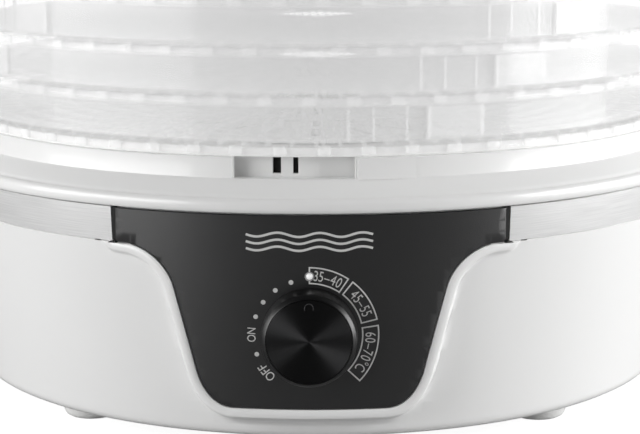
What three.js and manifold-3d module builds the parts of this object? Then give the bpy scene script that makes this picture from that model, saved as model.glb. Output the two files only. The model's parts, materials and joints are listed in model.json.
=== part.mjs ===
// Round stacking food dehydrator: base with fan, heater and thermostat, five trays and a lid.
// Millimetres, +Z up, the origin on the ground under the middle of the tower, front towards -Y.
import * as THREE from 'three';
import { mergeVertices } from 'three/addons/utils/BufferGeometryUtils.js';
import Module from 'manifold-3d';

const wasm = await Module();
wasm.setup();

// ---- Driving dimensions ----
const GAP = 0.3; // clearance kept between separate pieces
const ROUND = 40; // flats round a large turned piece
const ARC = 96; // flats round the curve that the panel follows

// Tray stack
const TRAY_COUNT = 5;
const TRAY_PITCH = 17.5;
const TRAY_TWIST = 10; // degrees that each tray is turned from the one below
const STACK_Z = 113; // underside of the lowest tray's skirt
const WALL_R = 150.2; // outside of a tray wall
const WALL_T = 1.5;
const SKIRT_R = 151.9; // outside of the skirt that slips over the tray below
const FLOOR_Z = 3.3; // underside of a tray floor, above the skirt's foot
const TRAY_SLOTS = 18;
const LID_H = 21.5;

// Base
const HOUSING_FOOT_R = 148.7;
const HOUSING_FOOT_Z = 12.5;
const HOUSING_TOP_R = 159.4;
const BAND_Z = 80.7; // foot of the steel band
const DECK_Z = 94; // seam between housing and deck ring
const BAND_R = 160;
const SEAT_R = 157.6; // rebate that the band sits on
const HOUSING_WALL = 2.3;
const RIM_R = 162.4; // widest part of the deck ring
const COVER_Z = 8.6;
const COVER_T = 2.4;
const COVER_R = 143.2;
const FOOT_R = 11.7;
const FEET_AT = 125; // distance of each foot from the axis
const POST_AT = 137; // distance of each cover screw from the axis

// Front panel and dial
const PANEL_R = 160.6;
const PANEL_T = 2.4;
const DIAL_Z = 50.2;
const LED_Z = 71.6;
const KNOB_R = 16.8;
const KNOB_FACE = 170.8; // distance of the knob's face from the tower's axis
const SHAFT_R = 3;
const FIXING_X = 21; // thermostat screws, either side of the shaft

// Fan, motor and heater, all on the tower's axis
const MOTOR_Z = 35; // underside of the lamination stack
const STACK_H = 16; // height of the lamination stack
const FAN_Z = 62;
const FAN_R = 60;
const BLADES = 7;
const DUCT_R = 67;
const OUTLET_R = 60;
const DECK_FLOOR = 104.5; // top of the plate under the trays
const HEATER_Z = 93.8;

// ---- Materials ----
function finish(color, roughness, metalness = 0, opacity = 1) {
  return new THREE.MeshStandardMaterial({
    color, roughness, metalness, opacity, transparent: opacity < 1,
  });
}

const white = finish(0xf1f1ef, 0.35);
const clear = finish(0xe6e9ea, 0.15, 0, 0.35);
const graphite = finish(0x2b2b2d, 0.4);
const black = finish(0x101011, 0.35);
const spunCap = finish(0x1a1a1b, 0.3, 0.8);
const brushed = finish(0xc9c9c7, 0.35, 1);
const steel = finish(0xb4b6b8, 0.4, 1);
const brass = finish(0xc8a860, 0.35, 1);
const copper = finish(0xb4683c, 0.45, 0.8);
const rubber = finish(0xe4e4e1, 0.7);
const mica = finish(0xb9a88c, 0.8);
const lens = finish(0xf4f6f6, 0.15);
const nylon = finish(0xdcdcd6, 0.5);
const cable = finish(0x8c3b2e, 0.6);

// ---- Shape helpers ----
const turn = (degrees) => THREE.MathUtils.degToRad(degrees);

// A closed mesh keeps only its positions, with shared corners merged and its faces outwards.
function closed(geometry) {
  const bare = geometry.clone();
  for (const name of ['normal', 'uv', 'uv1']) bare.deleteAttribute(name);
  const merged = mergeVertices(bare, 1e-4);
  const at = merged.attributes.position;
  const kept = [];
  let volume = 0;
  const a = new THREE.Vector3();
  const b = new THREE.Vector3();
  const c = new THREE.Vector3();
  for (let i = 0; i < merged.index.count; i += 3) {
    const [p, q, r] = [0, 1, 2].map((k) => merged.index.getX(i + k));
    if (p === q || q === r || p === r) continue;
    kept.push(p, q, r);
    a.fromBufferAttribute(at, p);
    b.fromBufferAttribute(at, q);
    c.fromBufferAttribute(at, r);
    volume += a.dot(b.cross(c));
  }
  if (volume < 0) kept.reverse();
  merged.setIndex(kept);
  return merged;
}

function toSolid(geometry) {
  const mesh = geometry.userData.welded ? geometry : closed(geometry);
  return new wasm.Manifold(new wasm.Mesh({
    numProp: 3,
    vertProperties: new Float32Array(mesh.attributes.position.array),
    triVerts: new Uint32Array(mesh.index.array),
  }));
}

function toGeometry(solid) {
  const mesh = solid.simplify(0.01).getMesh();
  const geometry = new THREE.BufferGeometry();
  geometry.setAttribute('position', new THREE.BufferAttribute(mesh.vertProperties, 3));
  geometry.setIndex(new THREE.BufferAttribute(mesh.triVerts, 1));
  geometry.userData.welded = true;
  return geometry;
}

const combine = (how, first, rest) =>
  toGeometry(rest.reduce((body, tool) => body[how](toSolid(tool)), toSolid(first)));
const join = (first, ...rest) => combine('add', first, rest);
const cut = (first, ...rest) => combine('subtract', first, rest);
const overlap = (first, ...rest) => combine('intersect', first, rest);

// Turned shape about +Z from [radius, height] points; a ring's profile closes on itself.
function turned(points, segments = ROUND, ring = false) {
  const profile = points.map(([r, z]) => new THREE.Vector2(r, z));
  if (ring) profile.push(profile[0].clone());
  return closed(new THREE.LatheGeometry(profile, segments).rotateX(Math.PI / 2));
}

const ring = (points, segments = ROUND) => turned(points, segments, true);

const disc = (radius, low, high, segments = 16) =>
  turned([[0, low], [radius, low], [radius, high], [0, high]], segments);

const pipe = (outer, inner, low, high, segments = 16) =>
  ring([[inner, low], [outer, low], [outer, high], [inner, high]], segments);

const block = (w, d, h, x, y, z) => closed(new THREE.BoxGeometry(w, d, h).translate(x, y, z));

// Outline in X and Y, raised along Z.
const raised = (shape, low, height, curveSegments = 8) =>
  closed(new THREE.ExtrudeGeometry(shape, { depth: height, bevelEnabled: false, curveSegments })
    .translate(0, 0, low));

// Outline in X and Z, pushed from y = near to y = far.
const pushed = (shape, near, far, curveSegments = 8) =>
  closed(new THREE.ExtrudeGeometry(shape, { depth: far - near, bevelEnabled: false, curveSegments })
    .rotateX(Math.PI / 2).translate(0, far, 0));

// Turned about an axis along Y: the profile's heights become y.
const alongY = (geometry, x, z) => geometry.rotateX(-Math.PI / 2).translate(x, 0, z);

const polygon = (points) => new THREE.Shape(points.map(([x, y]) => new THREE.Vector2(x, y)));

function rounded(w, h, r, x = 0, y = 0) {
  const shape = new THREE.Shape();
  shape.absarc(x + w / 2 - r, y + h / 2 - r, r, 0, Math.PI / 2);
  shape.absarc(x - w / 2 + r, y + h / 2 - r, r, Math.PI / 2, Math.PI);
  shape.absarc(x - w / 2 + r, y - h / 2 + r, r, Math.PI, 1.5 * Math.PI);
  shape.absarc(x + w / 2 - r, y - h / 2 + r, r, 1.5 * Math.PI, 2 * Math.PI);
  return shape;
}

function circle(r, x = 0, y = 0) {
  return new THREE.Path().absarc(x, y, r, 0, 2 * Math.PI);
}

// Sector between two radii and two angles (degrees from +X).
function sector(inner, outer, from, to) {
  const shape = new THREE.Shape();
  shape.absarc(0, 0, outer, turn(from), turn(to));
  shape.absarc(0, 0, inner, turn(to), turn(from), true);
  return shape;
}

// Slots that widen outwards, with ribs of constant width between them.
function radialSlots(count, inner, outer, rib, start = 0) {
  return Array.from({ length: count }, (_, i) => {
    const half = Math.PI / count;
    const corner = (r, side) => {
      const reach = Math.asin(rib / 2 / r);
      const angle = turn(start) + 2 * half * i + side * (half - reach);
      return [r * Math.cos(angle), r * Math.sin(angle)];
    };
    return polygon([corner(inner, -1), corner(outer, -1), corner(outer, 1), corner(inner, 1)]);
  });
}

function tube(points, radius, steps, sides = 8) {
  const path = new THREE.CatmullRomCurve3(points.map((p) => new THREE.Vector3(...p)));
  const section = new THREE.Shape();
  section.absarc(0, 0, radius, 0, 2 * Math.PI);
  return closed(new THREE.ExtrudeGeometry(section, {
    steps, extrudePath: path, bevelEnabled: false, curveSegments: sides / 2,
  }));
}

const group = new THREE.Group();

function place(name, geometry, material) {
  const mesh = new THREE.Mesh(geometry, material);
  mesh.name = name;
  group.add(mesh);
}

const atQuarter = (i, radius) =>
  [radius * Math.cos(turn(90 * i)), radius * Math.sin(turn(90 * i))];

// ---- Front panel outline, in X and Z, grown outwards by a margin ----
function panelOutline(grow = 0, top = DECK_Z - GAP) {
  const half = [
    // corner and curve points on the right: [end x, end z, first handle, second handle]
    [28, 22.7 - grow],
    [41.3 + grow, 36.2, 34.5 + grow * 0.5, 22.9 - grow, 39.6 + grow, 29.3 - grow * 0.6],
    [49.4 + grow, 65.5],
    [66, 80.8 - grow, 50.4 + grow, 72 - grow * 0.3, 56.8 + grow * 0.7, 79.3 - grow * 0.8],
    [70.6 + grow, 81 - grow],
    [72 + grow, 82.4 - grow],
    [72 + grow, top],
  ];
  const shape = new THREE.Shape();
  shape.moveTo(-half[0][0], half[0][1]);
  shape.lineTo(half[0][0], half[0][1]);
  for (const [x, z, ax, az, bx, bz] of half.slice(1)) {
    if (ax === undefined) shape.lineTo(x, z);
    else shape.bezierCurveTo(ax, az, bx, bz, x, z);
  }
  for (let i = half.length - 1; i > 0; i -= 1) {
    const [, , ax, az, bx, bz] = half[i];
    const [x, z] = half[i - 1];
    if (i === half.length - 1) shape.lineTo(-half[i][0], half[i][1]);
    if (ax === undefined) shape.lineTo(-x, z);
    else shape.bezierCurveTo(-bx, bz, -ax, az, -x, z);
  }
  return shape;
}

const frontPrism = (grow, top) => pushed(panelOutline(grow, top), -175, -120);
const dialHole = (radius, near, far) => alongY(disc(radius, near, far, 20), 0, DIAL_Z);
const ledHole = (radius, near, far) => alongY(disc(radius, near, far, 12), 0, LED_Z);

// ---- Housing: tapered shell with the panel's pod, cord boss, posts and ribs ----
const REAR_Z = 30;
const POD_SKIN = PANEL_R - PANEL_T - GAP;

function housing() {
  const foot = [[0, 8], [143.6, 8], [146.6, 8.4], [148.3, 10.2], [HOUSING_FOOT_R, HOUSING_FOOT_Z]];
  const brow = [[HOUSING_TOP_R, BAND_Z - GAP], [SEAT_R, BAND_Z - GAP], [SEAT_R, DECK_Z - 0.1],
    [0, DECK_Z - 0.1]];
  const outside = turned([...foot, ...brow]);
  const pod = overlap(frontPrism(3.8, BAND_Z - GAP), disc(PANEL_R, 0, BAND_Z - GAP, ARC));
  const boss = overlap(pushed(rounded(36, 31, 6, 0, REAR_Z + 0.5), 120, 175), disc(BAND_R, 0, 80, ARC));
  const cavity = turned([[0, 7], [143.6, 7], [143.6, 10.4], [145.8, 10.8],
    [HOUSING_FOOT_R - HOUSING_WALL, 13], [HOUSING_TOP_R - HOUSING_WALL - 1.8, BAND_Z - 4],
    [SEAT_R - HOUSING_WALL, BAND_Z], [SEAT_R - HOUSING_WALL, DECK_Z + 1], [0, DECK_Z + 1]]);
  const posts = [0, 1, 2, 3].map((i) => {
    const [x, y] = atQuarter(i, POST_AT);
    return disc(4.2, COVER_Z + COVER_T + GAP, 60, 12).translate(x, y, 0);
  });
  const ribs = [0, 1, 2, 3].map((i) => block(20, 2, 44, POST_AT + 10, 0, 38).rotateZ(turn(90 * i)));
  const screwHoles = [0, 1, 2, 3].map((i) => {
    const [x, y] = atQuarter(i, POST_AT);
    return disc(1.9, 8, 26, 8).translate(x, y, 0);
  });
  const shell = cut(join(outside, pod, boss), cut(cavity, ...posts, ...ribs));
  const podInside = overlap(frontPrism(-2.5), disc(POD_SKIN - HOUSING_WALL, 0, 76, ARC));
  const bossInside = overlap(pushed(rounded(31, 26, 4, 0, REAR_Z + 0.5), 120, 175),
    disc(BAND_R - 2.5, 0, 80, ARC));
  const recess = cut(frontPrism(GAP), disc(POD_SKIN, 0, 100, ARC));
  const standoffs = [-FIXING_X, FIXING_X].map((x) => alongY(disc(3.2, -155.4, -152, 12), x, DIAL_Z));
  const hollow = cut(shell, podInside, bossInside, recess);
  return cut(join(hollow, ...standoffs), ...screwHoles,
    dialHole(5, -165, -150), ledHole(2, -165, -150),
    ...[-FIXING_X, FIXING_X].map((x) => alongY(disc(1.6, -154.8, -150, 10), x, DIAL_Z)),
    alongY(disc(6.2, 150, 165, 20), 0, REAR_Z));
}

place('base_housing', housing(), white);

// ---- Bottom cover with the air intake, feet and cover screws ----
function bottomCover() {
  const plate = disc(COVER_R, COVER_Z, COVER_Z + COVER_T, ROUND);
  const slots = raised(radialSlots(24, 24, 56, 4.6), 0, 20);
  const bores = [0, 1, 2, 3].map((i) => {
    const [x, y] = atQuarter(i, POST_AT);
    return disc(2.1, 0, 20, 10).translate(x, y, 0);
  });
  return cut(plate, slots, ...bores);
}

place('bottom_cover', bottomCover(), white);

for (let i = 0; i < 4; i += 1) {
  const at = FEET_AT * Math.SQRT1_2;
  const [x, y] = [[1, -1], [1, 1], [-1, 1], [-1, -1]][i].map((side) => side * at);
  const foot = turned([[0, 0], [9.6, 0], [11.2, 1.4], [FOOT_R, 4], [11.4, COVER_Z - GAP],
    [0, COVER_Z - GAP]], 20);
  place(`foot_${i + 1}`, foot.translate(x, y, 0), rubber);
  const [sx, sy] = atQuarter(i, POST_AT);
  const screw = turned([[0, 6.4], [3.6, 6.4], [3.8, COVER_Z - GAP], [1.6, COVER_Z - GAP],
    [1.6, 24], [0, 25]], 12);
  place(`cover_screw_${i + 1}`, screw.translate(sx, sy, 0), steel);
}

// ---- Steel band round the housing, open where the panel stands ----
const band = ring([[SEAT_R + GAP, BAND_Z], [BAND_R - 0.7, BAND_Z], [BAND_R, DECK_Z - GAP],
  [SEAT_R + GAP, DECK_Z - GAP]]);
place('steel_band', cut(band, block(2 * (72 + GAP), 80, 40, 0, -150, 87)), brushed);

// ---- Deck ring: rim, sloping deck, collar under the trays and the plate inside it ----
function deckRing() {
  const lip = STACK_Z + FLOOR_Z - GAP;
  const seat = STACK_Z - GAP;
  const body = ring([
    [160.8, DECK_Z + 0.2], [RIM_R, 95.4], [RIM_R, 97.6], [160.6, 99.4],
    [152, 105.4], [152, seat], [WALL_R, seat], [WALL_R, lip], [WALL_R - WALL_T, lip],
    [WALL_R - WALL_T, DECK_FLOOR], [145.3, DECK_FLOOR], [145.3, 112.5], [143.5, 112.5],
    [143.5, DECK_FLOOR], [OUTLET_R, DECK_FLOOR], [OUTLET_R, DECK_FLOOR - 2.5],
    [150, DECK_FLOOR - 2.5], [156, 97.8], [157, DECK_Z + 0.2],
  ]);
  // the mouth in the front of the collar, with a raised pad beside it
  const mouth = raised(sector(147.5, 156, -100.5, -83.8), 105.6, seat - 105.6);
  const pad = raised(sector(151, 152.8, -83.6, -75.8), 105, seat - 105 - 0.2);
  const slots = [];
  for (let i = 0; i < 3; i += 1) {
    slots.push(block(3, 8, 7, 0, -144.5, 109.5).rotateZ(turn(120 * i - 4.7)));
    slots.push(block(1.9, 8, 7, 0, -144.5, 109.5).rotateZ(turn(120 * i - 2)));
  }
  return cut(join(body, pad), mouth, ...slots);
}

place('deck_ring', deckRing(), white);

// ---- Outlet grille over the heater ----
function outletGrille() {
  const plate = new THREE.Shape();
  plate.absarc(0, 0, OUTLET_R + 4, 0, 2 * Math.PI);
  const holes = [...radialSlots(16, 36, OUTLET_R - 2, 4), ...radialSlots(8, 12, 32, 4)];
  plate.holes.push(...holes.map((hole) => new THREE.Path(hole.getPoints())));
  return raised(plate, DECK_FLOOR + GAP, 2.2, 20);
}

place('outlet_grille', outletGrille(), white);

// ---- Control panel and pilot lamp ----
const panelSkin = pipe(PANEL_R, PANEL_R - PANEL_T, 0, DECK_Z + 10, ARC);
place('control_panel', cut(overlap(frontPrism(0), panelSkin), dialHole(4.6, -165, -150),
  ledHole(1.9, -165, -150)), graphite);
place('led_lens', alongY(turned([[0, -161.2], [0.9, -161.1], [1.5, -160.6], [1.5, -150], [0, -150]], 12),
  0, LED_Z), lens);
place('led_holder', alongY(pipe(3.4, 1.8, -155.2, -151, 12), 0, LED_Z), nylon);

// ---- Dial: knob, cap and shaft, which turn together ----
const knob = turned([[0, -KNOB_FACE + 1], [15.2, -KNOB_FACE + 1], [15.2, -KNOB_FACE],
  [16, -KNOB_FACE + 0.3], [16.3, -KNOB_FACE + 1.1], [KNOB_R, -162.2], [KNOB_R, -161], [0, -161]], 32);
place('dial_knob', cut(alongY(knob, 0, DIAL_Z), dialHole(SHAFT_R + GAP, -166, -155)), black);
const capFace = new THREE.Shape();
capFace.absarc(0, DIAL_Z, 14.9, 0, 2 * Math.PI);
capFace.holes.push(circle(1.3, 0, DIAL_Z + 11.2));
place('knob_cap', pushed(capFace, -KNOB_FACE, -KNOB_FACE + 0.7, 16), spunCap);
place('thermostat_shaft', dialHole(SHAFT_R, -165.7, -141), brass);

// ---- Thermostat on its bracket behind the panel ----
const can = alongY(turned([[0, -150.2], [16, -150.2], [16, -136], [14, -134], [0, -134]], 28), 0, DIAL_Z);
const neck = alongY(disc(4, -153.6, -149, 16), 0, DIAL_Z);
const tabs = [-6, 6].map((x) => block(5, 12, 0.8, x, -130, DIAL_Z - 8));
place('thermostat_body', cut(join(can, neck, ...tabs), dialHole(SHAFT_R + GAP, -155, -140.5)), steel);

const bracketFace = rounded(52, 24, 4, 0, DIAL_Z);
bracketFace.holes.push(circle(4.8, 0, DIAL_Z), circle(2, -FIXING_X, DIAL_Z),
  circle(2, FIXING_X, DIAL_Z));
place('thermostat_bracket', pushed(bracketFace, -151.7, -150.5, 5), steel);
[-FIXING_X, FIXING_X].forEach((x, i) => {
  const screw = turned([[0, -154.4], [1.3, -154.2], [1.3, -150.2], [2.9, -150.2], [2.6, -148.4],
    [0, -148.4]], 12);
  place(`thermostat_screw_${i + 1}`, alongY(screw, x, DIAL_Z), steel);
});

// ---- Shaded-pole motor: stack, coil, bearing bridges and their screws ----
function motorStack() {
  const face = polygon([[-18, -20], [43, -20], [43, 20], [-18, 20]]);
  face.holes.push(circle(11.8), circle(1.9, -2, 16), circle(1.9, -2, -16));
  face.holes.push(new THREE.Path(polygon([[17, -13], [33, -13], [33, 13], [17, 13]]).getPoints()));
  return raised(face, MOTOR_Z, STACK_H, 10);
}

place('motor_stack', motorStack(), steel);

const bobbin = rounded(30, 34, 3, 37, MOTOR_Z + STACK_H / 2);
bobbin.holes.push(new THREE.Path(polygon([
  [32.6, MOTOR_Z - GAP], [43.4, MOTOR_Z - GAP],
  [43.4, MOTOR_Z + STACK_H + GAP], [32.6, MOTOR_Z + STACK_H + GAP],
]).getPoints()));
place('motor_coil', pushed(bobbin, -12.6, 12.6, 4), copper);

function bearingBridge(low, thick, bossLow, bossHigh) {
  const strap = rounded(11, 42, 3, -2, 0);
  strap.holes.push(circle(1.9, -2, 16), circle(1.9, -2, -16));
  const bar = raised(strap, low, thick, 3);
  return cut(join(bar, disc(5, bossLow, bossHigh, 12)), disc(2.3, 0, 90, 12));
}

const stackTop = MOTOR_Z + STACK_H;
place('bearing_bridge_low', bearingBridge(MOTOR_Z - 2, 1.6, MOTOR_Z - 6, MOTOR_Z - 1), steel);
place('bearing_bridge_high', bearingBridge(stackTop + 0.4, 1.6, stackTop + 0.6, stackTop + 6), steel);
[-16, 16].forEach((y, i) => {
  const screw = turned([[0, 27], [1.5, 27], [1.5, stackTop + 2.3], [3, stackTop + 2.3],
    [3, stackTop + 4.3], [0, stackTop + 4.3]], 12);
  place(`motor_screw_${i + 1}`, screw.translate(-2, y, 0), steel);
});

// Bent strap that carries the motor over the intake
function motorBracket() {
  const top = MOTOR_Z - 2 - GAP;
  const low = COVER_Z + COVER_T + GAP;
  const side = [[60, low], [74, low], [74, low + 1.4], [61.4, low + 1.4], [61.4, top], [-61.4, top],
    [-61.4, low + 1.4], [-74, low + 1.4], [-74, low], [-60, low], [-60, top - 1.4], [60, top - 1.4]];
  const strap = closed(new THREE.ExtrudeGeometry(polygon(side), { depth: 16, bevelEnabled: false })
    .rotateX(Math.PI / 2).rotateZ(Math.PI / 2).translate(-10, 0, 0));
  const holes = [[-2, -16, 1.9], [-2, 16, 1.9], [0, 0, 6], [-2, -68, 1.9], [-2, 68, 1.9]];
  return cut(strap, ...holes.map(([x, y, r]) => disc(r, 0, 60, 14).translate(x, y, 0)));
}

place('motor_bracket', motorBracket(), steel);
[-68, 68].forEach((y, i) => {
  const low = COVER_Z + COVER_T + GAP + 1.4 + GAP;
  place(`bracket_screw_${i + 1}`, turned([[0, COVER_Z + COVER_T + 0.5], [1.5, COVER_Z + COVER_T + 0.5],
    [1.5, low], [3.2, low], [3, low + 2], [0, low + 2]], 12).translate(-2, y, 0), steel);
});

// ---- Fan: rotor, shaft and blades turn together ----
place('motor_rotor', cut(disc(11.2, MOTOR_Z - 0.4, stackTop - 0.2, 20), disc(2.3, 0, 90, 14)), steel);
place('motor_shaft', disc(2, 26, FAN_Z + 12, 14), steel);

function fanBlade() {
  const hub = turned([[0, FAN_Z], [9, FAN_Z], [9, FAN_Z + 12], [7, FAN_Z + 14], [0, FAN_Z + 14]], 20);
  const blades = Array.from({ length: BLADES }, (_, i) =>
    closed(new THREE.BoxGeometry(FAN_R, 24, 1.5).rotateX(turn(28))
      .translate(FAN_R / 2 + 3, 0, FAN_Z + 7).rotateZ(turn((360 / BLADES) * i))));
  const swept = overlap(join(hub, ...blades), disc(FAN_R, FAN_Z - 2, FAN_Z + 16, ROUND));
  return cut(swept, disc(2.3, 0, FAN_Z + 12.5, 14));
}

place('fan_blade', fanBlade(), black);

// ---- Duct, heater and thermal fuse ----
const ductTop = DECK_FLOOR - 2.5 - GAP;
const duct = ring([[DUCT_R - 1, 57], [DUCT_R, 57], [DUCT_R, ductTop - 1], [DUCT_R + 9, ductTop - 1],
  [DUCT_R + 9, ductTop], [DUCT_R - 1, ductTop]], 36);
const ductHoles = [30, 150, 270].map((a) =>
  disc(1.9, 90, 110, 10).translate((DUCT_R + 5) * Math.cos(turn(a)), (DUCT_R + 5) * Math.sin(turn(a)), 0));
place('heat_duct', cut(duct, ...ductHoles), steel);
[30, 150, 270].forEach((a, i) => {
  const head = ductTop - 1 - GAP;
  const screw = turned([[0, head - 2], [3, head - 2], [3.2, head], [1.5, head], [1.5, ductTop],
    [0, ductTop]], 12);
  screw.translate((DUCT_R + 5) * Math.cos(turn(a)), (DUCT_R + 5) * Math.sin(turn(a)), 0);
  place(`duct_screw_${i + 1}`, screw, steel);
});

const cross = polygon([[-64, -1], [-1, -1], [-1, -64], [1, -64], [1, -1], [64, -1], [64, 1], [1, 1],
  [1, 64], [-1, 64], [-1, 1], [-64, 1]]);
place('heater_frame', raised(cross, 82, HEATER_Z - 3.2 - GAP - 82), mica);

const element = Array.from({ length: 25 }, (_, i) => {
  const angle = turn(-75 + (330 / 24) * i);
  return [44 * Math.cos(angle), 44 * Math.sin(angle), HEATER_Z];
});
place('heater_element', tube(element, 3.2, 30), steel);
place('thermal_fuse', closed(new THREE.CylinderGeometry(3, 3, 16, 14).translate(0, 80, 0)
  .rotateX(Math.PI / 2)).translate(0, DUCT_R + 4, 0), nylon);

// ---- Mains entry at the back: gland, its nut and the terminal block ----
const gland = alongY(ring([[3.6, 150], [5.9, 150], [5.9, 160.4], [10, 160.4], [10, 162],
  [8.2, 163], [6.6, 167.4], [3.6, 167.4]], 24), 0, REAR_Z);
place('cord_gland', gland, black);
place('gland_nut', alongY(pipe(9.6, 6.2, 153, 157, 12), 0, REAR_Z), nylon);
const TERMINAL = [36, 108];
const terminalTop = COVER_Z + COVER_T + GAP + 14;
const towers = [-9, 0, 9].map((dx) => block(7, 12, 16, TERMINAL[0] + dx, TERMINAL[1], terminalTop - 6));
place('terminal_block', join(block(32, 16, 8, TERMINAL[0], TERMINAL[1], COVER_Z + COVER_T + GAP + 4),
  ...towers), nylon);

// ---- Leads inside the base, along the cover ----
const leadZ = terminalTop + 2 + GAP + 2;
place('lead_mains', tube([[0, 149, REAR_Z], [4, 138, REAR_Z + 2], [18, 124, REAR_Z + 5],
  [30, 114, leadZ + 2], [36, 108, leadZ]], 1.6, 12), cable);
place('lead_thermostat', tube([[45, 108, leadZ], [78, 84, 24], [104, 30, 18], [104, -30, 18],
  [70, -90, 24], [26, -118, 34], [6, -121.6, DIAL_Z - 8]], 1.6, 26), cable);
place('lead_heater', tube([[-6, -121.6, DIAL_Z - 8], [-30, -112, 40], [-66, -74, 36], [-86, -30, 50],
  [-84, 0, 66], [-76, 14, 74]], 1.6, 22), cable);

// ---- Trays: floor with slots, wall, and skirt that slips over the piece below ----
function tray(z, twist) {
  const body = turned([
    [0, FLOOR_Z], [WALL_R + GAP, FLOOR_Z], [WALL_R + GAP, 0], [SKIRT_R, 0],
    [SKIRT_R, FLOOR_Z + WALL_T], [WALL_R, FLOOR_Z + WALL_T], [WALL_R, TRAY_PITCH + FLOOR_Z - GAP],
    [WALL_R - WALL_T, TRAY_PITCH + FLOOR_Z - GAP], [WALL_R - WALL_T, FLOOR_Z + WALL_T],
    [0, FLOOR_Z + WALL_T],
  ]);
  const slots = raised(radialSlots(TRAY_SLOTS, 36, 140, 8, twist), 0, 10);
  return cut(body, slots).translate(0, 0, z);
}

for (let i = 0; i < TRAY_COUNT; i += 1) {
  place(`tray_${i + 1}`, tray(STACK_Z + TRAY_PITCH * i, TRAY_TWIST * i), clear);
}

// ---- Lid: shallow dome with vents and a moulded grip ----
function lid(z) {
  const dome = turned([
    [0, LID_H], [20, LID_H], [22.5, LID_H - 1.6], [24.5, 11.4], [90, 9.8], [147, 6],
    [SKIRT_R, 3.6], [SKIRT_R, 0], [WALL_R + GAP, 0], [WALL_R + GAP, FLOOR_Z],
    [147, FLOOR_Z + 1], [90, 8.2], [23.4, 9.9], [21, LID_H - WALL_T], [0, LID_H - WALL_T],
  ]);
  const vents = raised(radialSlots(12, 34, 46, 9), 0, 15);
  return cut(dome, vents).translate(0, 0, z);
}

place('lid', lid(STACK_Z + TRAY_PITCH * TRAY_COUNT), clear);

export default group;
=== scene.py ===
import json
import math

import bmesh
import bpy
import numpy as np
from mathutils import Matrix, Vector
from mathutils.geometry import delaunay_2d_cdt

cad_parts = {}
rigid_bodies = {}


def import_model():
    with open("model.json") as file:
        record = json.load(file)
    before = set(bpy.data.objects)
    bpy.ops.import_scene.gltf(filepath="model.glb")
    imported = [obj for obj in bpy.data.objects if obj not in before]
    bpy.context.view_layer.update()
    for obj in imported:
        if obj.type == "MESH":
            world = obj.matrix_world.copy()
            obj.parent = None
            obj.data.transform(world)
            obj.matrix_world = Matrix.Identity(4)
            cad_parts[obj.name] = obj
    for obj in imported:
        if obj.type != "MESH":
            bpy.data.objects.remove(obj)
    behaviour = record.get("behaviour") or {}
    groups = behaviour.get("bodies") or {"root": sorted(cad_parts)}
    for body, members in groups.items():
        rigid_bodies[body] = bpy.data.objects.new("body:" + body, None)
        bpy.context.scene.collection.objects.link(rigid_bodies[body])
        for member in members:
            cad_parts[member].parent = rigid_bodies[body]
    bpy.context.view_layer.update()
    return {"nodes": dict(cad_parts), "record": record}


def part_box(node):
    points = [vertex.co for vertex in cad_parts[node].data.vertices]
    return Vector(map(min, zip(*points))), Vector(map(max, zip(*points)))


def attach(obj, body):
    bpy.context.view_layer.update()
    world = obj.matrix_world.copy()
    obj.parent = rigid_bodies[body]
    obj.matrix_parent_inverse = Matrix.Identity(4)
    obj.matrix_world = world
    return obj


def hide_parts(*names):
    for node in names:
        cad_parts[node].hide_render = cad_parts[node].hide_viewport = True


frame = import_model()
nodes = frame["nodes"]
scene = bpy.context.scene
mm = 0.001


# The view: a camera a little above the deck, just right of the dial, with a long lens.
# The tower runs out of the top of the picture.
def stand_camera(distance=0.8, height=0.2134, azimuth=1.12, heading=1.06, pitch=10.66, roll=-0.17):
    data = bpy.data.cameras.new("view")
    data.sensor_width = 36
    data.lens = 104.07
    data.clip_start = 0.05
    camera = bpy.data.objects.new("view", data)
    scene.collection.objects.link(camera)
    a = math.radians(azimuth)
    spot = Matrix.Translation((distance * math.sin(a), -distance * math.cos(a), height))
    aim = Matrix.Rotation(math.radians(heading), 4, "Z") @ Matrix.Rotation(math.radians(90 - pitch), 4, "X")
    camera.matrix_world = spot @ aim @ Matrix.Rotation(math.radians(roll), 4, "Z")
    scene.camera = camera


stand_camera()


# Base housing: one injection-moulded shell of white ABS, tapered towards the foot. A pod with a soft
# rolled lip stands proud of its front for the control panel, and a boss at the back holds the cord gland.
foot_r, foot_z = 148.7, 12.5
brow_r, brow_z = 159.4, 80.4
seat_r, deck_z = 157.6, 93.9
panel_r, recess_r = 160.6, 157.9
lip_w = 3.9
dial_z, led_z = 50.2, 71.6


def make_piece(name, verts, faces, body, slot, material, *replaced, smooth=35, scale=mm):
    """A mesh piece in metres that rides on a body and may stand for CAD nodes."""
    mesh = bpy.data.meshes.new(name)
    mesh.from_pydata([(x * scale, y * scale, z * scale) for x, y, z in verts], [], faces)
    mesh.validate()
    return dress_piece(name, mesh, body, slot, material, *replaced, smooth=smooth)


def dress_piece(name, mesh, body, slot, material, *replaced, smooth=35):
    mesh.materials.clear()
    mesh.materials.append(material)
    mesh.polygons.foreach_set("use_smooth", [True] * len(mesh.polygons))
    mesh.set_sharp_from_angle(angle=math.radians(smooth))
    piece = bpy.data.objects.new(name, mesh)
    scene.collection.objects.link(piece)
    if replaced:
        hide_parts(*replaced)
    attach(piece, body)
    return piece


def face_out(bm):
    bmesh.ops.remove_doubles(bm, verts=bm.verts, dist=1e-6)
    bmesh.ops.recalc_face_normals(bm, faces=bm.faces)


def calc(tree, operation, *values):
    """A Math node; each value is a socket or a number."""
    node = tree.nodes.new("ShaderNodeMath")
    node.operation = operation
    for socket, value in zip(node.inputs, values):
        if isinstance(value, (int, float)):
            socket.default_value = value
        else:
            tree.links.new(value, socket)
    return node.outputs[0]


def vector(tree, *values):
    node = tree.nodes.new("ShaderNodeCombineXYZ")
    for socket, value in zip(node.inputs, values):
        if isinstance(value, (int, float)):
            socket.default_value = value
        else:
            tree.links.new(value, socket)
    return node.outputs[0]


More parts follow.
